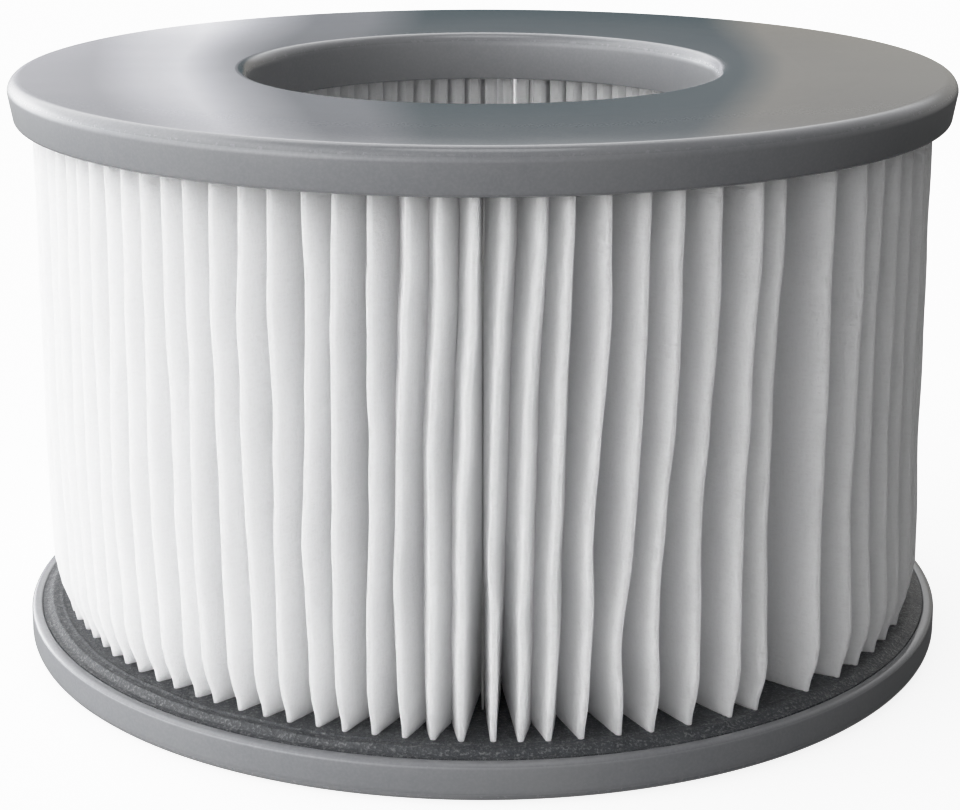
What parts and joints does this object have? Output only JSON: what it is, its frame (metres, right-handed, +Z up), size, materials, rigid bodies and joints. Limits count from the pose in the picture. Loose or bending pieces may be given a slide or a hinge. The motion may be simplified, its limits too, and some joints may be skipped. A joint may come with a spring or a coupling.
{
  "type": "pleated filter cartridge",
  "caption": "Short round pleated filter cartridge with flat ring end caps, a cast resin ring at each end and an open bore through the middle.",
  "frame": {"origin": "centre of the underside, on the axis of the bore", "axes": "+Z up along the bore, -Y towards the seam of the medium, +X to the right as seen from the seam side"},
  "size_m": [0.107, 0.107, 0.066],
  "materials": {
    "cap_plastic": "smooth moulded grey, glossy on the flat faces and satin on the edge",
    "potting_resin": "cast charcoal resin with a fine grainy surface",
    "filter_fabric": "white non-woven fabric, matt, with a faint fibre pattern",
    "seam_fabric": "white bonded fabric edge, slightly smoother than the medium"
  },
  "bodies": {
    "root": {"bottom_end_cap": "cap_plastic", "top_end_cap": "cap_plastic", "bottom_resin_ring": "potting_resin", "top_resin_ring": "potting_resin", "pleated_medium": "filter_fabric", "seam_strip": "seam_fabric"}
  },
  "joints": []
}
